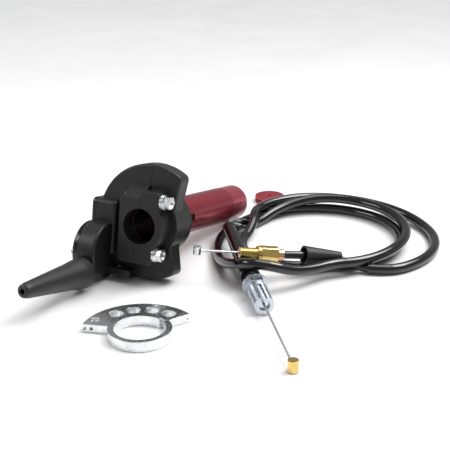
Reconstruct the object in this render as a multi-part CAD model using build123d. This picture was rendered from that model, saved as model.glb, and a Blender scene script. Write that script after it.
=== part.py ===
from build123d import *
import math
import os

# A motorcycle quick-action throttle kit laid out on a bench: the throttle assembly with its
# grip tube, a spare cam, the tube's end cap and the throttle cable, loosely coiled.
# Throttle assembly frame: x along the handlebar from the clamp face to the tube's open end,
# y to the left, z up. The assembly then tilts, because its tube end rests on the bench.
# Kit frame: X along the bar's direction seen from above, Z up. Millimetres throughout.

# ---------------------------------------------------------------- driving dimensions
BORE_RADIUS = 11.15          # clamps a 22.2 mm handlebar
TUBE_INNER = 11.19
TUBE_OUTER = 12.35
TUBE_END = 132.4             # clamp face to open end of the tube
HUB_RADIUS = 14.65           # boss on the tube that carries the cam
NOTCH_X = 45.5               # key slot just outside the dust collar
TILT = 10.86                 # how far the assembly leans with its tube end on the bench
AXIS_HEIGHT = 37.86          # bar axis above the bench at the clamp face

CLAMP_DEPTH = 10.0           # clamp block, along the bar
SPLIT_OFFSET = 1.5           # the split passes just left of the bar axis
SPLIT_LEAN = 5.1
SPLIT_GAP = 0.3

CHAMBER_FRONT = 10.0
CHAMBER_BACK = 21.5
CHAMBER_RADIUS = 36.2
CHAMBER_Y, CHAMBER_Z = -1.0, 1.6
CAVITY_FRONT = 12.2
CAVITY_BACK = 20.2
CAVITY_RADIUS = 34.2
CAVITY_Y, CAVITY_Z = -0.5, 0.8
COLLAR_RADIUS = 21.0         # round boss that holds the tube bush
COLLAR_BACK = 27.0
BUSH_RADIUS = 14.5
DUST_BACK = 33.5

CAM_FRONT = 13.0             # front face of the cam ring in the chamber
CAM_RING = 18.0
CAM_BORE = 14.7
CAM_RING_DEPTH = 6.0
CAM_DEPTH = 5.0
CAM_RADIUS = 29.2            # installed cam
SPARE_RADIUS = 33.2          # spare cam, quicker ratio
GROOVE_DEPTH = 1.8
GROOVE_WIDTH = 2.0
CABLE_LINE_Y = 28.2          # where the cable runs from cam to pulley
CAM_START, CAM_SWEEP = -28.0, 133.0
KEY_ANGLE = -25.0
POCKET_FIRST, POCKET_STEP = -11.0, 25.0

PULLEY_X, PULLEY_Z = 5.7, -21.4
DRUM_X, DRUM_Z = 3.5, -19.6
DRUM_RADIUS = 17.5
DRUM_CAVITY = 14.4
DRUM_RIGHT, DRUM_LEFT = 22.5, 34.5
COVER_THICKNESS = 4.0
CHANNEL_FRONT, CHANNEL_TOP = 6.0, 12.3
PULLEY_RADIUS = 11.0
PULLEY_PITCH = 9.8
PULLEY_RIGHT, PULLEY_LEFT = 26.4, 30.4
AXLE_RADIUS = 2.5
OUTLET_Z = PULLEY_Z - PULLEY_PITCH
BOSS_RADIUS, BOSS_FRONT = 6.4, -13.6
BOOT_BASE_X, BOOT_TIP_X = -15.5, -76.0
BOOT_BASE_RADIUS, BOOT_TIP_RADIUS = 9.6, 4.4

BOLT_X = 4.9
HEAD_RADIUS = 4.7
BOLT_RADIUS = 3.0
BOLT_HEIGHTS = (16.5, -16.5)
BOLT_SEATS = (-12.6, -9.6)   # y of the seat under each head
WASHER = 0.9
INSERT_RADIUS = 3.6
SCREW_RADIUS = 1.1
COVER_SCREWS = ((DRUM_X - 15.9, DRUM_Z), (DRUM_X, DRUM_Z - 15.9), (9.0, 9.3),
                (19.9, -18.0))

CASING_RADIUS = 3.3          # glossy outer sleeve of the cable
THIN_RADIUS = 2.5            # bare casing at the throttle end
WIRE_RADIUS = 0.75

# Loose pieces, in the kit frame.
SPARE_AT = (-63.2, -37.3, 0.0)
CAP_AT = (178.6, -8.8, 0.0)
CAP_RADIUS, CAP_DEPTH = 11.1, 4.4

# Throttle end of the cable: wire, adjuster, hexagon and ferrule on one straight line.
BARREL_TIP = (29.5, -54.0, 19.8)
FERRULE_END = (47.5, -75.5, 15.5)
THROTTLE_WIRE_OUT = 27.0
BOOT_MOUTH, BOOT_NECK = (56.5, -86.0, 14.0), (74.5, -104.0, 9.6)
# Carburettor end: boot, neck, lock nut, barrel and wire, sloping down to the bench.
CARB_BOOT_TOP = (81.5, -21.5, 13.3)
CARB_BACK = (26.0, -62.5, 8.4)
CARB_TIP = (-8.0, -88.0, 6.6)
CARB_WIRE_OUT = 67.0

# Routes of the cable outside the coil. Two turns pass over the carburettor end and under
# the throttle end; the coil begins and ends on two flat faces.
COIL_START_X, COIL_END_X = 95.0, 129.0
COIL_HEIGHT = 13.6
STRAND_OUTER = ((136.0, -16.8, 3.4), (122.0, -14.2, 3.4), (108.0, -12.2, 3.4), (95.0, -12.2, 3.4),
                (82.0, -14.0, 3.4), (64.0, -21.0, 3.4), (46.0, -32.0, 4.5), (29.5, -46.5, 10.5),
                (18.0, -63.0, 18.6), (22.5, -77.0, 18.2), (34.0, -88.0, 10.5), (48.0, -98.0, 5.5),
                (63.0, -107.0, 10.0), (78.0, -116.5, 12.6), (91.0, -127.0, 9.0), (103.0, -135.0, 7.0))
STRAND_INNER = ((139.0, -18.6, 10.3), (130.0, -19.8, 10.6), (120.0, -22.8, 11.0), (111.0, -26.4, 9.4),
                (101.0, -28.2, 5.6), (90.0, -29.0, 3.4), (79.0, -32.6, 3.4), (68.0, -40.0, 3.4),
                (61.0, -52.0, 3.4), (58.0, -65.0, 3.4), (60.0, -78.5, 3.4), (68.5, -92.5, 3.4),
                (82.0, -104.0, 3.4), (96.0, -112.5, 3.4), (108.0, -118.0, 3.4))
SLEEVE_START = ((77.5, -122.0, 3.4), (80.0, -131.5, 3.4), (87.0, -140.0, 3.4), (97.0, -146.0, 3.4))
THIN_CASING = (FERRULE_END, (56.5, -86.0, 14.0), (67.0, -96.5, 11.6), (74.5, -106.0, 7.4),
               (77.0, -115.0, 3.6), (78.0, -123.0, 3.2))
CARB_CASING = ((138.0, -29.0, 3.4), (128.0, -24.4, 3.4), (119.0, -22.6, 3.4), (111.0, -20.6, 5.0),
               (103.0, -18.4, 9.2), (95.0, -17.2, 12.8), (88.0, -18.2, 14.0), CARB_BOOT_TOP)

MIN = Align.MIN
MID = Align.CENTER
nodes = {}


# ---------------------------------------------------------------- helpers
def rod(axis, radius, start, end, a=0.0, b=0.0):
    """Cylinder along x, y or z from start to end; a and b are its other two coordinates in order."""
    body = Cylinder(radius, end - start, align=(MID, MID, MIN))
    if axis == "x":
        return Pos(start, a, b) * Rot(0, 90, 0) * body
    if axis == "y":
        return Pos(a, start, b) * Rot(-90, 0, 0) * body
    return Pos(a, b, start) * body


def block(x0, x1, y0, y1, z0, z1):
    return Pos(x0, y0, z0) * Box(x1 - x0, y1 - y0, z1 - z0, align=(MIN, MIN, MIN))


def along(start, end):
    """Plane at start whose normal points to end."""
    step = Vector(*end) - Vector(*start)
    side = Vector(0, 0, 1).cross(step)
    return Plane(origin=start, x_dir=side, z_dir=step)


def stick(start, end, radius, tip_radius=None):
    """Straight rod or cone between two points."""
    length = (Vector(*end) - Vector(*start)).length
    tip = radius if tip_radius is None else tip_radius
    if abs(tip - radius) < 1e-6:
        shape = Cylinder(radius, length, align=(MID, MID, MIN))
    else:
        shape = Cone(radius, tip, length, align=(MID, MID, MIN))
    return along(start, end) * shape


def on_line(start, end, distance):
    """Point on the line from start towards end, distance from start."""
    step = (Vector(*end) - Vector(*start)).normalized()
    return tuple(Vector(*start) + step * distance)


def tube_route(name, points, radius):
    """Round tube along straight runs joined by arcs as large as the runs allow."""
    path_points = [Vector(*p) for p in points]
    radii = []
    for before, corner, after in zip(path_points, path_points[1:], path_points[2:]):
        run_in = corner - before
        run_out = after - corner
        turn = math.radians(run_in.get_angle(run_out))
        radii.append(0.45 * min(run_in.length, run_out.length) / math.tan(turn / 2))
    path = FilletPolyline(*path_points, radius=radii)
    section = Plane(origin=path @ 0, z_dir=path % 0) * Circle(radius)
    solid = sweep(section, path=path)
    print(name, "length %.1f" % path.length, "radii", [round(r, 1) for r in radii],
          "volume ratio %.4f" % (solid.volume / (math.pi * radius ** 2 * path.length)))
    return solid


def chamber_face(radius, y, z, inset):
    """D-shaped outline of the cam chamber, cut off on its right side."""
    right = Polyline(
        (-24.0 + inset, 46), (-18.5 + inset, 14), (-18.0 + inset, -14), (-24.0 + inset, -46),
        (-70, -46), (-70, 46), close=True)
    return Pos(y, z) * Circle(radius) - make_face(right)


def cam(radius):
    """Cam lying flat on z=0: ring with a grooved sector, pockets, nipple seat and key slot."""
    start_angle, sweep_angle = CAM_START, CAM_SWEEP
    ring = Cylinder(CAM_RING, CAM_RING_DEPTH, align=(MID, MID, MIN))
    end_angle = start_angle + sweep_angle
    reach = radius + 20
    wedge_points = [(0, 0)]
    steps = 4
    for i in range(steps + 1):
        angle = math.radians(start_angle + sweep_angle * i / steps)
        wedge_points.append((reach * math.cos(angle), reach * math.sin(angle)))
    wedge = extrude(make_face(Polyline(*wedge_points, close=True)), CAM_DEPTH)
    disc = Cylinder(radius, CAM_DEPTH, align=(MID, MID, MIN))
    groove_outer = Cylinder(radius + 1, GROOVE_WIDTH, align=(MID, MID, MIN))
    groove = Pos(0, 0, (CAM_DEPTH - GROOVE_WIDTH) / 2) * (
        groove_outer - Cylinder(radius - GROOVE_DEPTH, GROOVE_WIDTH, align=(MID, MID, MIN)))
    body = ((disc & wedge) - groove) + ring
    pocket_radius = (CAM_RING + radius - GROOVE_DEPTH) / 2
    pocket_width = min((radius - GROOVE_DEPTH - CAM_RING) - 3.2, 8.0)
    pocket_span = math.radians(POCKET_STEP) * pocket_radius - 2.4
    for i in range(4):
        slot = extrude(RectangleRounded(pocket_width, pocket_span, pocket_width * 0.42),
                       CAM_DEPTH + 2)
        angle = POCKET_FIRST + i * POCKET_STEP
        body -= Rot(0, 0, angle) * Pos(pocket_radius, 0, -1) * slot
    nipple_at = Rot(0, 0, end_angle - 13) * Pos(radius - GROOVE_DEPTH - 2.4, 0, -1)
    body -= nipple_at * Cylinder(2.9, CAM_DEPTH + 2, align=(MID, MID, MIN))
    side_hole = Rot(0, 0, end_angle) * Pos(radius - 5.0, 1.0, CAM_DEPTH / 2) * Rot(90, 0, 0)
    body -= side_hole * Cylinder(1.1, 7, align=(MID, MID, MIN))
    body -= Cylinder(CAM_BORE, 40)
    key_slot = Rot(0, 0, KEY_ANGLE) * Pos(CAM_BORE - 1, 0, -1) * Box(
        2.6, 4.0, 40, align=(MIN, MID, MIN))
    return body - key_slot


def keep(name, solid):
    nodes[name] = solid


# ---------------------------------------------------------------- housing
def split_side(right):
    """Everything on one side of the leaning split plane."""
    half = 80.0
    if right:
        slab = Pos(0, -half - SPLIT_GAP / 2, 0) * Box(4 * half, 2 * half, 4 * half)
    else:
        slab = Pos(0, half + SPLIT_GAP / 2, 0) * Box(4 * half, 2 * half, 4 * half)
    return Pos(0, SPLIT_OFFSET, 0) * Rot(SPLIT_LEAN, 0, 0) * slab


def housing_shell():
    """Chamber, collar and clamp as one form, before it is split in two."""
    outline = Plane.YZ.offset(CHAMBER_FRONT) * chamber_face(
        CHAMBER_RADIUS, CHAMBER_Y, CHAMBER_Z, 0)
    chamber = extrude(outline, CHAMBER_BACK - CHAMBER_FRONT)
    corners = [e for e in chamber.edges().filter_by(Axis.X) if e.center().Y < -10
               and abs(e.center().Z) > 25]
    chamber = fillet(corners, 4.0)
    chamber = fillet(chamber.edges().group_by(Axis.X)[0], 1.4)
    chamber = fillet(chamber.edges().group_by(Axis.X)[-1], 1.0)
    collar = rod("x", COLLAR_RADIUS, CHAMBER_FRONT, COLLAR_BACK)
    collar = fillet(collar.edges().group_by(Axis.X)[-1], 1.2)
    return chamber + collar


def housing_cavity():
    """Room for the cam, the tube and its bush."""
    outline = Plane.YZ.offset(CAVITY_FRONT) * chamber_face(
        CAVITY_RADIUS, CAVITY_Y, CAVITY_Z, 2.4)
    cavity = extrude(outline, CAVITY_BACK - CAVITY_FRONT)
    cavity += rod("x", CAM_RING + 0.5, CAVITY_FRONT, CAVITY_BACK)
    cavity += rod("x", BUSH_RADIUS, CAVITY_BACK, COLLAR_BACK + 1)
    cavity += rod("x", BORE_RADIUS, -1, CAVITY_FRONT)
    return cavity


def clamp_left():
    """Fixed half of the bar clamp, with the sloped shoulder up to the chamber."""
    side = block(0, CLAMP_DEPTH, -8, 14.6, -23.3, 18.0)
    side = fillet(side.edges().filter_by(Axis.X).group_by(Axis.Y)[-1], 2.5)
    profile = Polyline((4, 14), (0, 17.9), (CLAMP_DEPTH, 25), (CLAMP_DEPTH, 14), close=True)
    shoulder = extrude(Plane.XZ.offset(-12.0) * make_face(profile), 14)
    shoulder &= block(-1, CLAMP_DEPTH, -2, 12, 0, 40)
    side = fillet(side.edges().group_by(Axis.X)[0], 0.8)
    return side + shoulder


def clamp_right():
    """Removable half of the clamp: a ring between two bolt ears."""
    ring = rod("x", 16.5, 0, CLAMP_DEPTH)
    ring = fillet(ring.edges().group_by(Axis.X)[0], 1.6)
    upper = block(0, CLAMP_DEPTH, BOLT_SEATS[0], 6, 9, 22.2)
    lower = block(0, CLAMP_DEPTH, BOLT_SEATS[1], 8, -23.3, -9)
    upper = fillet(upper.edges().filter_by(Axis.X).group_by(Axis.Z)[-1], 2.0)
    lower = fillet(lower.edges().filter_by(Axis.X).group_by(Axis.Z)[0], 2.0)
    upper = fillet(upper.edges().group_by(Axis.X)[0], 0.8)
    lower = fillet(lower.edges().group_by(Axis.X)[0], 0.8)
    return ring + upper + lower


def pulley_case():
    """Drum for the pulley, channel up to the cam and web back to the chamber, all solid."""
    drum = rod("y", DRUM_RADIUS, DRUM_RIGHT, DRUM_LEFT, DRUM_X, DRUM_Z)
    drum = fillet(drum.edges().group_by(Axis.Y)[0], 1.5)
    channel = block(CHANNEL_FRONT, CHAMBER_BACK, 20.5, DRUM_LEFT, -22, CHANNEL_TOP)
    channel = fillet(channel.edges().filter_by(Axis.Y).group_by(Axis.Z)[-1], 3.5)
    channel = fillet(channel.edges().group_by(Axis.Y)[0], 3.0)
    web = block(2.0, CHAMBER_BACK, 6.0, DRUM_RIGHT + 3, -34.0, -29.5)
    boss = rod("x", BOSS_RADIUS, BOSS_FRONT, 0.0, CABLE_LINE_Y, OUTLET_Z)
    boss &= block(-20, 6, 10, DRUM_LEFT, -60, 0)
    return drum + channel + web + boss


def pulley_room():
    """Open space inside the drum and the cable's way from cam to pulley."""
    room = rod("y", DRUM_CAVITY, DRUM_RIGHT + 2.2, DRUM_LEFT + 1, DRUM_X, DRUM_Z)
    room += block(11.2, CAVITY_BACK - 0.4, DRUM_RIGHT + 2.2, DRUM_LEFT + 1, -19, 9.5)
    return room


def build_housing():
    shell = housing_shell()
    cavity = housing_cavity()
    outlet_bore = rod("x", 3.2, -30, 0, CABLE_LINE_Y, OUTLET_Z)
    axle_hole = rod("y", AXLE_RADIUS, DRUM_RIGHT + 0.6, DRUM_LEFT + 1, PULLEY_X, PULLEY_Z)
    body = (shell + clamp_left()) & split_side(False)
    body = body + pulley_case()
    body = body - cavity - pulley_room() - outlet_bore - axle_hole - cover_blank()
    right = (shell + clamp_right()) & split_side(True)
    right -= cavity
    for height in BOLT_HEIGHTS:
        right -= rod("y", BOLT_RADIUS + 0.3, -40, 40, BOLT_X, height)
        body -= rod("y", INSERT_RADIUS, -2, 12.6, BOLT_X, height)
    for height, seat in zip(BOLT_HEIGHTS, BOLT_SEATS):
        right -= rod("y", HEAD_RADIUS + 0.4, -40, seat, BOLT_X, height)
    for x, z in COVER_SCREWS:
        body -= rod("y", SCREW_RADIUS, DRUM_LEFT - 8, DRUM_LEFT + 1, x, z)
    keep("housing_body", body)
    keep("clamp_half", right)


def build_clamp_hardware():
    bolts = []
    washers = []
    inserts = []
    for height, seat in zip(BOLT_HEIGHTS, BOLT_SEATS):
        head_base = seat - WASHER
        flange = rod("y", HEAD_RADIUS, head_base - 1.2, head_base, BOLT_X, height)
        hexagon = Pos(BOLT_X, head_base - 1.2, height) * Rot(90, 0, 0) * extrude(
            RegularPolygon(HEAD_RADIUS - 0.5, 6), 4.0)
        dimple = rod("y", 2.4, head_base - 5.3, head_base - 4.2, BOLT_X, height)
        shank = rod("y", BOLT_RADIUS, head_base, 12.0, BOLT_X, height)
        bolts.append(flange + hexagon - dimple + shank)
        washers.append(rod("y", HEAD_RADIUS + 0.2, seat - WASHER, seat, BOLT_X, height)
                       - rod("y", BOLT_RADIUS, seat - 5, seat + 5, BOLT_X, height))
        left_start = SPLIT_OFFSET - math.tan(math.radians(SPLIT_LEAN)) * height + 1.0
        inserts.append(rod("y", INSERT_RADIUS, left_start, 12.6, BOLT_X, height)
                       - rod("y", BOLT_RADIUS, -10, 12.0, BOLT_X, height))
    keep("clamp_bolts", Compound(bolts))
    keep("clamp_washers", Compound(washers))
    keep("thread_inserts", Compound(inserts))


def build_pulley():
    groove_right, groove_left = CABLE_LINE_Y - 1.2, CABLE_LINE_Y + 1.2
    pulley = rod("y", PULLEY_RADIUS, PULLEY_RIGHT, PULLEY_LEFT, PULLEY_X, PULLEY_Z)
    pulley -= rod("y", PULLEY_RADIUS + 1, groove_right, groove_left, PULLEY_X, PULLEY_Z) - rod(
        "y", PULLEY_PITCH - WIRE_RADIUS, groove_right, groove_left, PULLEY_X, PULLEY_Z)
    pulley -= rod("y", 4.0, 20, 40, PULLEY_X, PULLEY_Z)
    for i in range(5):
        angle = math.radians(72 * i)
        pulley -= rod("y", 1.4, 20, 40, PULLEY_X + 6.4 * math.cos(angle),
                      PULLEY_Z + 6.4 * math.sin(angle))
    bush = rod("y", 4.0, DRUM_RIGHT + 2.4, DRUM_LEFT - 0.2, PULLEY_X, PULLEY_Z) - rod(
        "y", AXLE_RADIUS + 0.05, 20, 40, PULLEY_X, PULLEY_Z)
    axle = rod("y", AXLE_RADIUS, DRUM_RIGHT + 0.6, DRUM_LEFT + 2.0, PULLEY_X, PULLEY_Z)
    keep("cable_pulley", pulley)
    keep("pulley_bush", bush)
    keep("pulley_axle", axle)


def cover_blank():
    """Outline of the lid over the pulley drum and the cable channel."""
    plate = rod("y", DRUM_RADIUS, DRUM_LEFT, DRUM_LEFT + COVER_THICKNESS, DRUM_X, DRUM_Z)
    plate += block(CHANNEL_FRONT, CHAMBER_BACK, DRUM_LEFT, DRUM_LEFT + COVER_THICKNESS,
                   -22, CHANNEL_TOP)
    return fillet(plate.edges().filter_by(Axis.Y).group_by(Axis.Z)[-1], 3.5)


def build_cover():
    plate = cover_blank()
    plate = fillet(plate.edges().group_by(Axis.Y)[-1], 1.5)
    plate -= rod("y", AXLE_RADIUS, 20, DRUM_LEFT + 2.0, PULLEY_X, PULLEY_Z)
    screws = []
    for x, z in COVER_SCREWS:
        plate -= rod("y", SCREW_RADIUS + 0.15, 20, 60, x, z)
        plate -= rod("y", 2.3, DRUM_LEFT + 2.6, 60, x, z)
        head = rod("y", 2.2, DRUM_LEFT + 2.6, DRUM_LEFT + COVER_THICKNESS - 0.2, x, z)
        cross = block(x - 1.4, x + 1.4, DRUM_LEFT + 3.2, 60, z - 0.3, z + 0.3) + block(
            x - 0.3, x + 0.3, DRUM_LEFT + 3.2, 60, z - 1.4, z + 1.4)
        screws.append(head - cross + rod("y", SCREW_RADIUS, DRUM_LEFT - 7.5, DRUM_LEFT + 2.6, x, z))
    keep("pulley_cover", plate)
    keep("cover_screws", Compound(screws))


def build_outlet():
    """Metal guide tube and the rubber cone that slips over it."""
    guide = rod("x", 3.2, -27.0, -11.0, CABLE_LINE_Y, OUTLET_Z)
    guide += rod("x", 5.6, BOSS_FRONT - 1.6, BOSS_FRONT, CABLE_LINE_Y, OUTLET_Z)
    guide -= rod("x", 1.6, -40, 10, CABLE_LINE_Y, OUTLET_Z)
    keep("cable_outlet", guide)
    profile = Polyline(
        (BOOT_BASE_X, 0), (BOOT_BASE_X, BOOT_BASE_RADIUS - 1.2), (BOOT_BASE_X - 1, BOOT_BASE_RADIUS),
        (BOOT_BASE_X - 7, BOOT_BASE_RADIUS - 0.2), (BOOT_BASE_X - 16, 8.2),
        (BOOT_TIP_X + 4, BOOT_TIP_RADIUS + 0.3), (BOOT_TIP_X + 1, BOOT_TIP_RADIUS - 0.4),
        (BOOT_TIP_X, BOOT_TIP_RADIUS - 1.8), (BOOT_TIP_X, 0), close=True)
    boot = revolve(make_face(profile), Axis.X)
    bore = rod("x", 1.6, BOOT_TIP_X - 1, BOOT_BASE_X + 1)
    bore += rod("x", 3.2, -27.0, BOOT_BASE_X + 1)
    boot = Pos(0, CABLE_LINE_Y, OUTLET_Z) * (boot - bore)
    keep("cable_boot", boot)


def build_tube():
    tube = rod("x", TUBE_OUTER, CAM_FRONT, TUBE_END)
    tube += rod("x", HUB_RADIUS, CAM_FRONT, CAM_FRONT + CAM_RING_DEPTH)
    tube -= rod("x", TUBE_INNER, 0, TUBE_END + 1)
    tube = fillet(tube.edges().group_by(Axis.X)[-1], 0.35)
    # key slot that shows just outside the dust collar, and the small vent hole at the open end
    tube -= block(NOTCH_X, NOTCH_X + 5.0, -TUBE_OUTER - 1, -TUBE_INNER + 1, -1.2, 3.8)
    tube -= rod("y", 1.1, -20, 0, TUBE_END - 2.4, -0.6)
    key = Pos(CAM_FRONT, 0, 0) * Rot(0, 90, 0) * Rot(0, 0, KEY_ANGLE) * Pos(
        HUB_RADIUS - 1, 0, 0) * Box(2.0, 3.7, CAM_RING_DEPTH, align=(MIN, MID, MIN))
    keep("throttle_tube", tube + key)
    bush = rod("x", BUSH_RADIUS, CAVITY_BACK + 0.1, COLLAR_BACK) - rod(
        "x", TUBE_OUTER + 0.05, 0, 60)
    keep("tube_bush", bush)
    washer = rod("x", 17.0, CAVITY_FRONT, CAM_FRONT - 0.15) - rod("x", TUBE_INNER + 0.2, 0, 60)
    keep("thrust_washer", washer)
    dust = rod("x", COLLAR_RADIUS - 1.3, COLLAR_BACK, DUST_BACK - 1.5)
    dust += rod("x", COLLAR_RADIUS - 2.6, DUST_BACK - 1.5, DUST_BACK)
    dust -= rod("x", TUBE_OUTER + 0.3, 0, 60)
    teeth = 60
    for i in range(teeth):
        angle = 360 / teeth * i
        dust -= Rot(angle, 0, 0) * Pos(DUST_BACK - 3.2, 0, COLLAR_RADIUS - 1.3) * Rot(
            45, 0, 0) * Box(1.8, 0.7, 0.7)
    keep("dust_collar", dust)


def build_installed_cam():
    """Cam on the tube hub; its flat front faces the clamp, its sector hangs left and down."""
    keep("cable_cam", Pos(CAM_FRONT, 0, 0) * Rot(0, 90, 0) * cam(CAM_RADIUS))
    ring = rod("x", CAM_BORE + 1.4, CAM_FRONT + CAM_RING_DEPTH,
               CAVITY_BACK - 0.3) - rod("x", TUBE_OUTER, 0, 60)
    keep("cam_retainer", ring)


def build_assembly():
    build_housing()
    build_clamp_hardware()
    build_pulley()
    build_cover()
    build_outlet()
    build_tube()
    build_installed_cam()
    lean = Pos(0, 0, AXIS_HEIGHT) * Rot(0, TILT, 0)
    for name in nodes:
        nodes[name] = lean * nodes[name]


# ---------------------------------------------------------------- loose pieces
def build_loose_pieces():
    keep("spare_cam", Pos(*SPARE_AT) * cam(SPARE_RADIUS))
    cap = Cylinder(CAP_RADIUS, CAP_DEPTH, align=(MID, MID, MIN))
    cap = fillet(cap.edges(), 0.4)
    seat = Pos(0, 0, CAP_DEPTH / 2 - 0.9) * (
        Cylinder(CAP_RADIUS + 1, 1.8, align=(MID, MID, MIN))
        - Cylinder(CAP_RADIUS - 1.6, 1.8, align=(MID, MID, MIN)))
    cap -= seat
    cap -= Cylinder(1.3, 20)
    seal = Pos(0, 0, CAP_DEPTH / 2) * Torus(CAP_RADIUS - 0.85, 0.75)
    keep("tube_end_cap", Pos(*CAP_AT) * cap)
    keep("end_cap_o_ring", Pos(*CAP_AT) * seal)


def build_coil():
    """Outer form of the cable's loose turns: a flat band, open where the fittings lie."""
    outer = Spline((COIL_END_X, -12.9), (148, -12.6), (163, -17.5), (178, -25), (190, -37),
                   (200, -58), (203.5, -85), (198, -112), (181, -134), (157, -149), (128, -155.5),
                   (COIL_START_X, -151))
    inner = Spline((COIL_START_X, -107), (115, -120), (133, -128), (150, -124), (161, -107),
                   (165, -84), (162, -62), (152, -45), (COIL_END_X, -31))
    near = Line((COIL_START_X, -151), (COIL_START_X, -107))
    far = Line((COIL_END_X, -31), (COIL_END_X, -12.9))
    keep("cable_coil", extrude(make_face([outer, near, inner, far]), COIL_HEIGHT))


def open_side(solid):
    """The stretch of a strand outside the coil's two flat ends."""
    left = block(-50, COIL_END_X, -71, 40, -5, 60)
    near = block(-50, COIL_START_X, -200, -71, -5, 60)
    return solid & (left + near)


def build_strands():
    keep("loop_strand_outer", open_side(tube_route("outer", STRAND_OUTER, CASING_RADIUS)))
    keep("loop_strand_inner", open_side(tube_route("inner", STRAND_INNER, CASING_RADIUS)))
    keep("sleeve_start", open_side(tube_route("sleeve", SLEEVE_START, CASING_RADIUS)))
    keep("thin_casing", tube_route("thin", THIN_CASING, THIN_RADIUS)
         - nodes["sleeve_start"])
    keep("elbow_pipe", open_side(tube_route("elbow", CARB_CASING, CASING_RADIUS)))


def threaded(start, end, radius, pitch):
    """Straight threaded stud, drawn with rings at the thread's pitch."""
    length = (Vector(*end) - Vector(*start)).length
    body = stick(start, end, radius)
    for i in range(int(length / pitch) - 1):
        at = along(on_line(start, end, pitch * (i + 0.8)), end)
        body -= at * (Cylinder(radius + 1, pitch * 0.45) - Cylinder(radius - 0.35, pitch))
    return body


def build_throttle_fittings():
    tip, back = BARREL_TIP, FERRULE_END
    length = (Vector(*back) - Vector(*tip)).length
    marks = [on_line(tip, back, d) for d in (0, 11.5, 13.5, 24.6, length)]
    bore = stick(on_line(tip, back, -5), on_line(tip, back, 40), WIRE_RADIUS + 0.08)
    barrel = threaded(marks[0], marks[1], 3.35, 1.0) + stick(marks[1], marks[2], 4.8)
    hexagon = along(marks[2], marks[3]) * extrude(RegularPolygon(5.4, 6), 11.1)
    hexagon &= stick(marks[2], marks[3], 5.25)
    keep("brass_adjuster", barrel - bore)
    keep("adjuster_hex", hexagon - bore)
    keep("casing_ferrule", stick(marks[3], marks[4], 3.6) - bore)
    keep("thin_casing", nodes["thin_casing"] - stick(marks[3], marks[4], 4.5))
    boot = stick(BOOT_MOUTH, BOOT_NECK, 6.0, 3.1)
    inside = stick(BOOT_MOUTH, on_line(BOOT_MOUTH, BOOT_NECK, 18), 4.8, 3.0)
    keep("adjuster_boot", boot - inside - tube_route("in boot", THIN_CASING, THIN_RADIUS))
    wire_end = on_line(tip, back, -THROTTLE_WIRE_OUT)
    wire_root = on_line(tip, back, 24.0)
    keep("throttle_wire", stick(on_line(wire_end, back, 1.6), wire_root, WIRE_RADIUS))
    keep("throttle_nipple", along(wire_end, back) * Rot(90, 0, 0) * Cylinder(2.4, 5.0)
         - nodes["throttle_wire"])


def build_carb_fittings():
    top, back, tip = CARB_BOOT_TOP, CARB_BACK, CARB_TIP
    length = (Vector(*tip) - Vector(*back)).length
    bore = stick(on_line(tip, back, -5), on_line(tip, back, 30), WIRE_RADIUS + 0.08)
    keep("elbow_ring", stick(on_line(top, back, 0.0), on_line(top, back, 3.0), 4.4)
         - nodes["elbow_pipe"])
    keep("carb_boot", stick(on_line(top, back, 3.0), on_line(back, top, -4.0), 4.2, 6.2)
         - stick(on_line(back, top, 6.0), on_line(back, top, -5.0), 4.3))
    neck = stick(on_line(back, tip, -5.0), on_line(back, tip, 15.0), 3.9)
    keep("adjuster_neck", neck - bore)
    hexagon = along(on_line(back, tip, 17.0), tip) * extrude(RegularPolygon(7.6, 6), 5.5)
    washer = stick(on_line(back, tip, 15.0), on_line(back, tip, 17.0), 7.7)
    keep("carb_lock_nut", hexagon - bore)
    keep("carb_washer", washer - bore)
    barrel = stick(on_line(back, tip, 22.5), on_line(back, tip, length), 5.9)
    barrel -= stick(on_line(back, tip, length - 2.0), on_line(back, tip, length + 1), 3.4)
    slot = along(on_line(back, tip, 25.5), tip) * Box(3.0, 20, length - 20, align=(MID, MIN, MIN))
    keep("carb_barrel", barrel - bore - (slot & stick(on_line(back, tip, 24), tip, 8)
                                         - stick(back, on_line(back, tip, 60), 4.2)))
    wire_end = on_line(tip, back, -CARB_WIRE_OUT)
    keep("carb_wire", stick(wire_end, on_line(tip, back, 3.0), WIRE_RADIUS))
    nipple = Pos(wire_end[0], wire_end[1], 0.2) * Cylinder(3.0, 6.6, align=(MID, MID, MIN))
    keep("carb_nipple", nipple - nodes["carb_wire"])


def build_cable():
    build_coil()
    build_strands()
    build_throttle_fittings()
    build_carb_fittings()


CORD_NODES = ("cable_coil", "loop_strand_outer", "loop_strand_inner", "sleeve_start",
              "thin_casing", "elbow_pipe", "brass_adjuster", "adjuster_hex", "casing_ferrule",
              "adjuster_boot", "throttle_wire", "throttle_nipple", "elbow_ring", "carb_boot",
              "adjuster_neck", "carb_lock_nut", "carb_washer", "carb_barrel", "carb_wire",
              "carb_nipple")


def main():
    build_assembly()
    build_loose_pieces()
    build_cable()
    boxes = [shape.bounding_box() for name, shape in nodes.items() if name not in CORD_NODES]
    low = [min(getattr(b.min, c) for b in boxes) for c in "XYZ"]
    high = [max(getattr(b.max, c) for b in boxes) for c in "XYZ"]
    shift = (-(low[0] + high[0]) / 2, -(low[1] + high[1]) / 2, -low[2])
    print("origin shift", [round(v, 4) for v in shift])
    os.makedirs("parts", exist_ok=True)
    for name, shape in nodes.items():
        placed = Pos(*shift) * shape
        export_step(placed, os.path.join("parts", name + ".step"))
    print(len(nodes), "nodes written")


main()
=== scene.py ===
import bpy
import math
from mathutils import Matrix, Vector


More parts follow.
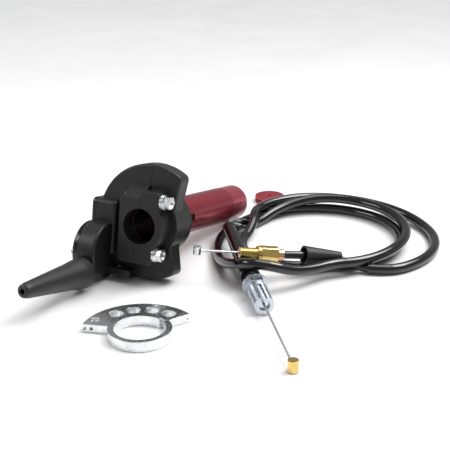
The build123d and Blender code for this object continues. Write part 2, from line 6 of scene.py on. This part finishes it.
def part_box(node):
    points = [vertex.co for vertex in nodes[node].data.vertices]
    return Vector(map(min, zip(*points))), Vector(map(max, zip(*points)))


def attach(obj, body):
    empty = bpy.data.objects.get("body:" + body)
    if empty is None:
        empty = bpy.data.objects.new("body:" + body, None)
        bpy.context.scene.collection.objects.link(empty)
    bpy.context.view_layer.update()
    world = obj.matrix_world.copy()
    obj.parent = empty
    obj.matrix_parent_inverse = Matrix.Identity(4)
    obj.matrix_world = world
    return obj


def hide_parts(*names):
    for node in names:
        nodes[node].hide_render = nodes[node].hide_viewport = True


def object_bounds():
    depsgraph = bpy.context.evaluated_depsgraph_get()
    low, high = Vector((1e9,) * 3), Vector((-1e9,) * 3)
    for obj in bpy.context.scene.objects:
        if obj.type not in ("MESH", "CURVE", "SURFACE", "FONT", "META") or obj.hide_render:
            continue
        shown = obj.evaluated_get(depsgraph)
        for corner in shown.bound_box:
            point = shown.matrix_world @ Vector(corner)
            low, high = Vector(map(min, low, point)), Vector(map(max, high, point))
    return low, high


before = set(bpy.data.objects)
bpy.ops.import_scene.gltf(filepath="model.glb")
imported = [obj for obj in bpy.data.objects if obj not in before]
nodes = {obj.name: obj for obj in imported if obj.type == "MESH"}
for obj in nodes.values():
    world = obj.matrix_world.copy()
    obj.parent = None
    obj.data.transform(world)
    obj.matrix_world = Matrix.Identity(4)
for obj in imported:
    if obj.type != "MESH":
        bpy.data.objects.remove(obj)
cad_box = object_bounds()

CAP_AT = (178.6, -8.8)
cap_low, cap_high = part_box("tube_end_cap")
BENCH = Vector(((cap_low.x + cap_high.x) / 2 - CAP_AT[0] / 1000,
                (cap_low.y + cap_high.y) / 2 - CAP_AT[1] / 1000, 0.0))
TILT = math.radians(10.86)          # lean of the bar axis
AXIS_HEIGHT = 0.03786
BAR_AXIS = Vector((math.cos(TILT), 0.0, -math.sin(TILT)))


def kit(x, y, z):
    """Bench millimetres to metres in the frame."""
    return BENCH + Vector((x, y, z)) / 1000


def bar(x, y, z):
    """Throttle assembly millimetres (x along the bar, y left, z up) to metres in the frame."""
    turn = Matrix.Rotation(TILT, 3, "Y")
    return BENCH + Vector((0, 0, AXIS_HEIGHT)) + turn @ (Vector((x, y, z)) / 1000)


# ---------------------------------------------------------------- camera
camera_data = bpy.data.cameras.new("camera")
camera_data.lens = 80.0
camera_data.sensor_width = 36.0
camera_data.clip_start = 0.05
camera_data.clip_end = 30.0
camera = bpy.data.objects.new("camera", camera_data)
camera.location = kit(-488.1, -299.2, 253.9)
camera.rotation_euler = (math.radians(69.34), 0.0, math.radians(-63.76))
bpy.context.scene.collection.objects.link(camera)
bpy.context.scene.camera = camera


# ---------------------------------------------------------------- materials
class Graph:
    """Short way to build a node material."""

    def __init__(self, name):
        self.material = bpy.data.materials.new(name)
        self.material.use_nodes = True
        self.tree = self.material.node_tree
        self.shader = self.tree.nodes["Principled BSDF"]
        self.coords = self.add("ShaderNodeTexCoord").outputs["Object"]

    def add(self, kind, **values):
        node = self.tree.nodes.new(kind)
        for key, value in values.items():
            setattr(node, key, value)
        return node

    def join(self, output, socket):
        self.tree.links.new(output, socket)

    def noise(self, scale, detail=3.0, stretch=None, rough=0.5):
        node = self.add("ShaderNodeTexNoise")
        node.inputs["Scale"].default_value = scale
        node.inputs["Detail"].default_value = detail
        node.inputs["Roughness"].default_value = rough
        source = self.coords
        if stretch:
            mapping = self.add("ShaderNodeMapping")
            mapping.inputs["Scale"].default_value = stretch
            self.join(source, mapping.inputs["Vector"])
            source = mapping.outputs["Vector"]
        self.join(source, node.inputs["Vector"])
        return node.outputs["Fac"]

    def ramp(self, fac, low, high, a, b):
        node = self.add("ShaderNodeMapRange")
        for key, value in (("From Min", low), ("From Max", high), ("To Min", a), ("To Max", b)):
            node.inputs[key].default_value = value
        self.join(fac, node.inputs["Value"])
        return node.outputs["Result"]

    def mix(self, fac, a, b):
        node = self.add("ShaderNodeMix", data_type="RGBA")
        self.join(fac, node.inputs["Factor"])
        for value, socket in ((a, node.inputs[6]), (b, node.inputs[7])):
            if isinstance(value, tuple):
                socket.default_value = value + (1.0,)
            else:
                self.join(value, socket)
        return node.outputs[2]

    def math(self, operation, a, b=None):
        node = self.add("ShaderNodeMath", operation=operation)
        for value, socket in ((a, node.inputs[0]), (b, node.inputs[1])):
            if value is None:
                continue
            if isinstance(value, (int, float)):
                socket.default_value = value
            else:
                self.join(value, socket)
        return node.outputs[0]

    def along(self, origin, axis):
        """Distance in metres along an axis from a point of the frame."""
        shift = self.add("ShaderNodeVectorMath", operation="SUBTRACT")
        self.join(self.coords, shift.inputs[0])
        shift.inputs[1].default_value = origin
        dot = self.add("ShaderNodeVectorMath", operation="DOT_PRODUCT")
        self.join(shift.outputs["Vector"], dot.inputs[0])
        dot.inputs[1].default_value = axis
        return dot.outputs["Value"]

    def off_axis(self, origin, axis):
        """Distance in metres from a line through a point of the frame."""
        shift = self.add("ShaderNodeVectorMath", operation="SUBTRACT")
        self.join(self.coords, shift.inputs[0])
        shift.inputs[1].default_value = origin
        cross = self.add("ShaderNodeVectorMath", operation="CROSS_PRODUCT")
        self.join(shift.outputs["Vector"], cross.inputs[0])
        cross.inputs[1].default_value = axis
        length = self.add("ShaderNodeVectorMath", operation="LENGTH")
        self.join(cross.outputs["Vector"], length.inputs[0])
        return length.outputs["Value"]

    def bump(self, height, strength, distance, normal=None):
        node = self.add("ShaderNodeBump")
        node.inputs["Strength"].default_value = strength
        node.inputs["Distance"].default_value = distance
        self.join(height, node.inputs["Height"])
        if normal is not None:
            self.join(normal, node.inputs["Normal"])
        return node.outputs["Normal"]

    def soft_edges(self, radius):
        node = self.add("ShaderNodeBevel", samples=6)
        node.inputs["Radius"].default_value = radius
        return node.outputs["Normal"]

    def edge_mask(self, radius):
        """1 on edges and 0 on flats, from how far a rounded normal turns from the true one."""
        bevel = self.add("ShaderNodeBevel", samples=6)
        bevel.inputs["Radius"].default_value = radius
        geometry = self.add("ShaderNodeNewGeometry")
        dot = self.add("ShaderNodeVectorMath", operation="DOT_PRODUCT")
        self.join(bevel.outputs["Normal"], dot.inputs[0])
        self.join(geometry.outputs["Normal"], dot.inputs[1])
        return self.ramp(dot.outputs["Value"], 0.99, 0.8, 0.0, 1.0)

    def finish(self, colour, roughness, metallic, normal, **sockets):
        for value, key in ((colour, "Base Color"), (roughness, "Roughness"), (normal, "Normal")):
            if isinstance(value, tuple):
                self.shader.inputs[key].default_value = value + (1.0,)
            elif isinstance(value, (int, float)):
                self.shader.inputs[key].default_value = value
            elif value is not None:
                self.join(value, self.shader.inputs[key])
        self.shader.inputs["Metallic"].default_value = metallic
        for key, value in sockets.items():
            self.shader.inputs[key.replace("_", " ")].default_value = value
        return self.material


def moulded(name, colour, edge_highlight, roughness, grain, depth, edge=0.0004):
    """Moulded plastic or rubber: fine grain, cloudy gloss and a painted highlight that makes the
    edges slightly paler.
    """
    g = Graph(name)
    clouds = g.noise(90.0, 4.0)
    shade = g.mix(g.ramp(clouds, 0.35, 0.7, 0.0, 1.0), colour, tuple(1.35 * c for c in colour))
    # painted highlight: the edges are mixed toward a paler colour
    shade = g.mix(g.math("MULTIPLY", g.edge_mask(edge), 0.6), shade, edge_highlight)
    rough = g.ramp(clouds, 0.3, 0.75, roughness - 0.05, roughness + 0.07)
    normal = g.bump(g.noise(grain, 2.0), depth, 0.00008, g.soft_edges(edge))
    return g.finish(shade, rough, 0.0, normal)


def metal(name, colour, roughness, stretch=(1, 1, 1), scale=900.0, depth=0.12, edge=0.0003,
          tint=0.82, metallic=1.0, lines=None):
    """Turned, brushed or plated metal; lines adds machined rings along (origin, axis, pitch)."""
    g = Graph(name)
    brushed = g.noise(scale, 4.0, stretch)
    stains = g.noise(140.0, 3.0)
    dark = tuple(tint * c for c in colour)
    shade = g.mix(g.ramp(stains, 0.35, 0.7, 0.0, 1.0), colour, dark)
    rough = g.ramp(brushed, 0.3, 0.7, roughness - 0.06, roughness + 0.08)
    height = brushed
    if lines:
        origin, axis, pitch = lines
        wave = g.math("SINE", g.math("MULTIPLY", g.along(origin, axis), 2 * math.pi / pitch))
        height = g.math("ADD", g.math("MULTIPLY", wave, 1.2), g.math("MULTIPLY", brushed, 0.3))
    normal = g.bump(height, depth, 0.0001, g.soft_edges(edge))
    return g.finish(shade, rough, metallic, normal)


def anodised_tube():
    """Red anodised tube: satin grip length, brighter bare stretch at the open end."""
    g = Graph("red_anodised_tube")
    place = g.along(bar(0, 0, 0), BAR_AXIS)
    end = g.ramp(place, 0.1105, 0.1112, 0.0, 1.0)        # bare stretch at the open end
    collar = g.ramp(place, 0.0402, 0.0396, 0.0, 1.0)     # bare stretch by the dust collar
    bright = g.math("MAXIMUM", end, collar)
    turned = g.noise(700.0, 3.0, (0.15, 1.0, 1.0))
    fine = g.noise(2600.0, 2.0)
    satin = g.mix(g.ramp(turned, 0.3, 0.7, 0.0, 1.0), (0.235, 0.012, 0.026), (0.30, 0.018, 0.036))
    shade = g.mix(bright, satin, (0.46, 0.052, 0.085))
    # painted shade inside the bore, where little light reaches
    clear_of_bore_shade = g.ramp(g.off_axis(bar(0, 0, 0), BAR_AXIS), 0.01145, 0.0117, 0.0, 1.0)
    shade = g.mix(clear_of_bore_shade, (0.035, 0.002, 0.004), shade)  # painted shade: the bore is painted darker
    rough = g.math("SUBTRACT", g.ramp(fine, 0.3, 0.7, 0.36, 0.46), g.math("MULTIPLY", bright, 0.14))
    rings = g.math("SINE", g.math("MULTIPLY", place, 2 * math.pi / 0.0006))
    height = g.math("ADD", g.math("MULTIPLY", rings, 0.4), fine)
    normal = g.bump(height, 0.12, 0.00005, g.soft_edges(0.0003))
    return g.finish(shade, rough, 0.72, normal, Coat_Weight=0.25, Coat_Roughness=0.2)


def gloss_sleeve(name, roughness):
    """Extruded cable sleeve: gloss with long faint ripples and a little dust."""
    g = Graph(name)
    ripples = g.noise(55.0, 2.0)
    dust = g.noise(1800.0, 2.0)
    shade = g.mix(g.ramp(dust, 0.6, 0.75, 0.0, 0.25), (0.0035, 0.0035, 0.004), (0.03, 0.03, 0.031))
    rough = g.ramp(ripples, 0.3, 0.7, roughness - 0.03, roughness + 0.05)
    normal = g.bump(ripples, 0.25, 0.0006)
    return g.finish(shade, rough, 0.0, normal, Coat_Weight=0.3, Coat_Roughness=0.08)


def floor_finish():
    g = Graph("bench_white")
    shade = g.mix(g.ramp(g.noise(3.0, 2.0), 0.3, 0.7, 0.0, 1.0), (0.90, 0.90, 0.905),
                  (0.93, 0.93, 0.935))
    return g.finish(shade, g.ramp(g.noise(14.0, 2.0), 0.3, 0.7, 0.20, 0.26), 0.0, None)


BARREL_BACK, BARREL_TIP = kit(26.0, -62.5, 8.4), kit(-8.0, -88.0, 6.6)
ADJUSTER_TIP, FERRULE_END = kit(29.5, -54.0, 19.8), kit(47.5, -75.5, 15.5)
barrel_axis = (BARREL_TIP - BARREL_BACK).normalized()
adjuster_axis = (FERRULE_END - ADJUSTER_TIP).normalized()
BLACK = (0.0075, 0.0075, 0.008)
# In the moulded finishes the second colour is a painted highlight for the edges.
finishes = {
    "nylon": moulded("black_nylon", BLACK, (0.06, 0.055, 0.05), 0.44, 2300.0, 0.30),
    "gloss": moulded("black_gloss_cover", (0.004, 0.004, 0.0045), (0.05, 0.05, 0.05), 0.17, 700.0,
                     0.05, 0.0007),
    "rubber": moulded("black_rubber", (0.012, 0.012, 0.0125), (0.03, 0.03, 0.03), 0.48, 1500.0,
                      0.22),
    "ring": moulded("seal_rubber", (0.006, 0.006, 0.006), (0.02, 0.02, 0.02), 0.55, 1200.0, 0.2),
    "acetal": moulded("acetal", (0.62, 0.61, 0.57), (0.7, 0.69, 0.65), 0.4, 1200.0, 0.1),
    "red": anodised_tube(),
    "cap": metal("red_anodised_cap", (0.50, 0.035, 0.062), 0.30, (1, 1, 0.2), 500.0, 0.10,
                 metallic=0.72),
    "aluminium": metal("brushed_aluminium", (0.83, 0.835, 0.845), 0.24, (0.12, 1.0, 1.0), 1500.0,
                       0.16, 0.0004),
    "bolt": metal("bright_zinc_bolts", (0.80, 0.81, 0.83), 0.22, (1, 1, 1), 700.0, 0.10, 0.0005),
    "steel": metal("turned_steel", (0.55, 0.56, 0.58), 0.30),
    "brass": metal("turned_brass", (0.83, 0.60, 0.22), 0.18, (1, 1, 1), 800.0, 0.08, 0.0003),
    "thread_brass": metal("threaded_brass", (0.80, 0.57, 0.21), 0.20, depth=0.5,
                          lines=(ADJUSTER_TIP, adjuster_axis, 0.001)),
    "copper": metal("copper_ferrule", (0.80, 0.45, 0.27), 0.24, depth=0.10),
    "zinc": metal("blue_zinc", (0.66, 0.71, 0.78), 0.20, scale=600.0, depth=0.08, tint=0.74),
    "thread_zinc": metal("threaded_zinc", (0.64, 0.69, 0.76), 0.24, depth=0.9, tint=0.72,
                         lines=(BARREL_BACK, barrel_axis, 0.001)),
    "pipe": metal("plated_pipe", (0.80, 0.81, 0.82), 0.16, (1, 1, 1), 300.0, 0.05),
    "wire": metal("steel_wire", (0.60, 0.60, 0.60), 0.28, (1, 1, 1), 2500.0, 0.2),
    "sleeve": gloss_sleeve("glossy_sleeve", 0.13),
    "casing": gloss_sleeve("satin_casing", 0.30),
}
dressing = {
    "housing_body": "nylon", "clamp_half": "nylon", "clamp_bolts": "bolt", "clamp_washers": "bolt",
    "thread_inserts": "brass", "cable_pulley": "acetal", "pulley_bush": "copper",
    "pulley_axle": "steel", "pulley_cover": "gloss", "cover_screws": "steel",
    "cable_outlet": "steel", "cable_boot": "rubber", "throttle_tube": "red", "tube_bush": "nylon",
    "thrust_washer": "acetal", "dust_collar": "nylon", "cable_cam": "aluminium",
    "cam_retainer": "steel", "spare_cam": "aluminium", "tube_end_cap": "cap",
    "end_cap_o_ring": "ring", "brass_adjuster": "thread_brass", "adjuster_hex": "brass",
    "casing_ferrule": "copper", "adjuster_boot": "rubber", "throttle_nipple": "bolt",
    "elbow_ring": "ring", "carb_boot": "gloss", "adjuster_neck": "ring",
    "carb_lock_nut": "zinc", "carb_washer": "zinc", "carb_barrel": "thread_zinc",
    "carb_nipple": "brass",
}
for node, finish in dressing.items():
    for material_slot in nodes[node].material_slots:
        material_slot.material = finishes[finish]


# ---------------------------------------------------------------- curves
def line(name, routes, radius, finish, kind="NURBS"):
    """Round bar along one or more routes of points in metres."""
    curve = bpy.data.curves.new(name, "CURVE")
    curve.dimensions = "3D"
    curve.bevel_depth = radius
    curve.bevel_resolution = 6 if kind == "NURBS" else 3
    curve.resolution_u = 14
    curve.use_fill_caps = True
    for route in routes:
        spline = curve.splines.new(kind)
        spline.points.add(len(route) - 1)
        for point, place in zip(spline.points, route):
            point.co = (*place, 1.0)
        if kind == "NURBS":
            spline.order_u = 3
            spline.use_endpoint_u = True
    piece = bpy.data.objects.new(name, curve)
    curve.materials.append(finishes[finish])
    bpy.context.scene.collection.objects.link(piece)
    return piece


def wire_rope(name, start, end, radius, lay):
    """Stranded wire: six strands wound round a core."""
    axis = (end - start).normalized()
    side = axis.orthogonal().normalized()
    other = axis.cross(side)
    length = (end - start).length
    strand = radius * 0.36
    steps = int(length / lay * 10)
    routes = [[start, end]]
    for k in range(6):
        route = []
        for i in range(steps + 1):
            turn = 2 * math.pi * (k / 6 + length * i / steps / lay)
            offset = (side * math.cos(turn) + other * math.sin(turn)) * (radius - strand)
            route.append(start + axis * (length * i / steps) + offset)
        routes.append(route)
    return line(name, routes, strand, "wire", "POLY")


# The sleeve, from the elbow pipe round the loose turns to its cut end: short stretches that lie
# outside the coil, joined by turns worked out round the coil's middle.
COIL_MIDDLE = (118.0, -84.0)
LEAD = ((103, -18.4, 9.2), (111, -20.6, 5), (119, -22.6, 3.4), (128, -24.4, 3.4))
OVER_FITTINGS = ((62, -103, 9), (48, -96, 9.5), (34, -88, 12), (22.5, -77, 18.2), (18, -63, 18.6),
                 (29.5, -46.5, 10.5), (46, -32, 4.5), (64, -21, 3.4), (82, -14, 3.4),
                 (95, -12.2, 3.4), (108, -12.2, 3.4), (122, -14.2, 3.4))
INNER_END = ((68.5, -92.5, 3.4), (60, -78.5, 3.4), (58, -65, 3.4), (61, -52, 3.4), (68, -40, 3.4),
             (79, -32.6, 3.4), (90, -29, 3.4), (101, -28.2, 5.6), (111, -26.4, 9.4),
             (120, -22.8, 11), (130, -19.8, 10.6))
CUT_END = ((87, -140, 3.4), (80, -131.5, 3.4), (77.5, -122, 3.4))
TURN_STEPS = 16
RISE_RATE = 1.6             # how early in a turn the lift is reached
LYING = 3.4                 # height of the sleeve's middle where it lies on the bench


def coil_turn(start, end, swell, lift):
    """Clockwise arc from one stretch to the next; swell widens it and lift raises it, each given
    for the arc's first and last part."""
    spots = []
    for x, y, z in (start, end):
        across, up = x - COIL_MIDDLE[0], y - COIL_MIDDLE[1]
        spots.append((math.atan2(up, across), math.hypot(across, up), z))
    (turn_a, radius_a, height_a), (turn_b, radius_b, height_b) = spots
    sweep = (turn_a - turn_b) % (2 * math.pi)
    points = []
    for i in range(1, TURN_STEPS):
        t = i / TURN_STEPS
        hump = math.sin(math.pi * t)
        angle = turn_a - sweep * t
        widen = (swell[0] * (1 - t) + swell[1] * t) * hump
        rise = (lift[0] * (1 - t) + lift[1] * t) * min(1.0, RISE_RATE * hump)
        radius = radius_a + (radius_b - radius_a) * t + widen
        height = max(height_a + (height_b - height_a) * t + rise, LYING)
        points.append((COIL_MIDDLE[0] + radius * math.cos(angle),
                       COIL_MIDDLE[1] + radius * math.sin(angle), height))
    return points


SLEEVE_ROUTE = [*LEAD, *coil_turn(LEAD[-1], OVER_FITTINGS[0], (6, -23), (10, -1)),
                *OVER_FITTINGS, *coil_turn(OVER_FITTINGS[-1], INNER_END[0], (0, -22), (0, 0)),
                *INNER_END, *coil_turn(INNER_END[-1], CUT_END[0], (6, 6), (3, -6)), *CUT_END]
THIN_ROUTE = ((47.5, -75.5, 15.5), (56.5, -86.0, 14.0), (67.0, -96.5, 11.6), (74.5, -106.0, 7.4),
              (77.0, -115.0, 3.6), (78.0, -123.0, 3.2))
ELBOW_ROUTE = ((104.5, -18.8, 8.4), (103, -18.4, 9.2), (95, -17.2, 12.8), (88, -18.2, 14.0),
               (81.5, -21.5, 13.3))
SLEEVE_RADIUS, CASING_RADIUS, PIPE_RADIUS = 0.0033, 0.0025, 0.003
sleeve = line("cable_sleeve", [[kit(*p) for p in SLEEVE_ROUTE]], SLEEVE_RADIUS, "sleeve")
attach(sleeve, "cable")
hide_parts("cable_coil", "loop_strand_outer", "loop_strand_inner", "sleeve_start")
casing = line("cable_casing", [[kit(*p) for p in THIN_ROUTE]], CASING_RADIUS, "casing")
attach(casing, "cable")
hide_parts("thin_casing")
elbow = line("bent_pipe", [[kit(*p) for p in ELBOW_ROUTE]], PIPE_RADIUS, "pipe")
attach(elbow, "cable")
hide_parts("elbow_pipe")

WIRE_RADIUS = 0.00078
WIRE_LAY = 0.006            # length of one turn of a strand
THROTTLE_WIRE_OUT, THROTTLE_WIRE_IN = 0.0254, 0.022
CARB_WIRE_OUT, CARB_WIRE_IN = 0.067, 0.003
throttle_end = ADJUSTER_TIP - adjuster_axis * THROTTLE_WIRE_OUT
throttle_root = ADJUSTER_TIP + adjuster_axis * THROTTLE_WIRE_IN
throttle_rope = wire_rope("throttle_wire_rope", throttle_end, throttle_root, WIRE_RADIUS, WIRE_LAY)
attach(throttle_rope, "wire_throttle_end")
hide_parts("throttle_wire")
carb_end = BARREL_TIP + barrel_axis * CARB_WIRE_OUT
carb_root = BARREL_TIP - barrel_axis * CARB_WIRE_IN
carb_rope = wire_rope("carb_wire_rope", carb_end, carb_root, WIRE_RADIUS, WIRE_LAY)
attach(carb_rope, "wire_carburettor_end")
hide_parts("carb_wire")


# ---------------------------------------------------------------- floor and light
floor_mesh = bpy.data.meshes.new("bench")
HALF = 6.0                  # half the floor's width
floor_mesh.from_pydata([(-HALF, -HALF, 0), (HALF, -HALF, 0), (HALF, HALF, 0), (-HALF, HALF, 0)],
                       [], [(0, 1, 2, 3)])
floor = bpy.data.objects.new("bench", floor_mesh)
floor.location.z = -0.0002  # just under the lowest piece
floor_mesh.materials.append(floor_finish())
bpy.context.scene.collection.objects.link(floor)

# The camera sees plain white, and the pieces are lit by a dimmer room.
world = bpy.data.worlds.new("studio")
world.use_nodes = True
tree = world.node_tree
background = tree.nodes["Background"]
background.inputs["Color"].default_value = (1.0, 1.0, 1.0, 1.0)
background.inputs["Strength"].default_value = 1.0
room = tree.nodes.new("ShaderNodeBackground")
room.inputs["Color"].default_value = (1.0, 1.0, 1.0, 1.0)
room.inputs["Strength"].default_value = 0.34
seen = tree.nodes.new("ShaderNodeLightPath")
choose = tree.nodes.new("ShaderNodeMixShader")
tree.links.new(seen.outputs["Is Camera Ray"], choose.inputs["Fac"])
tree.links.new(room.outputs["Background"], choose.inputs[1])
tree.links.new(background.outputs["Background"], choose.inputs[2])
tree.links.new(choose.outputs["Shader"], tree.nodes["World Output"].inputs["Surface"])
bpy.context.scene.world = world


def softbox(name, place, target, size, power):
    lamp = bpy.data.lights.new(name, "AREA")
    lamp.shape = "RECTANGLE"
    lamp.size, lamp.size_y = size
    lamp.energy = power
    holder = bpy.data.objects.new(name, lamp)
    holder.location = place
    holder.rotation_euler = (target - place).to_track_quat("-Z", "Y").to_euler()
    bpy.context.scene.collection.objects.link(holder)


middle = (cad_box[0] + cad_box[1]) / 2
softbox("key", middle + Vector((0.35, -0.45, 0.75)), middle, (0.55, 0.35), 5.0)
softbox("side", middle + Vector((-0.35, 0.65, 0.5)), middle, (0.5, 0.3), 2.2)
sun = bpy.data.lights.new("window", "SUN")
sun.energy = 2.3
sun.angle = math.radians(55)
window = bpy.data.objects.new("window", sun)
window.rotation_euler = Vector((-0.35, 0.25, -1.0)).to_track_quat("-Z", "Y").to_euler()
bpy.context.scene.collection.objects.link(window)
bpy.context.scene.view_settings.view_transform = "Standard"
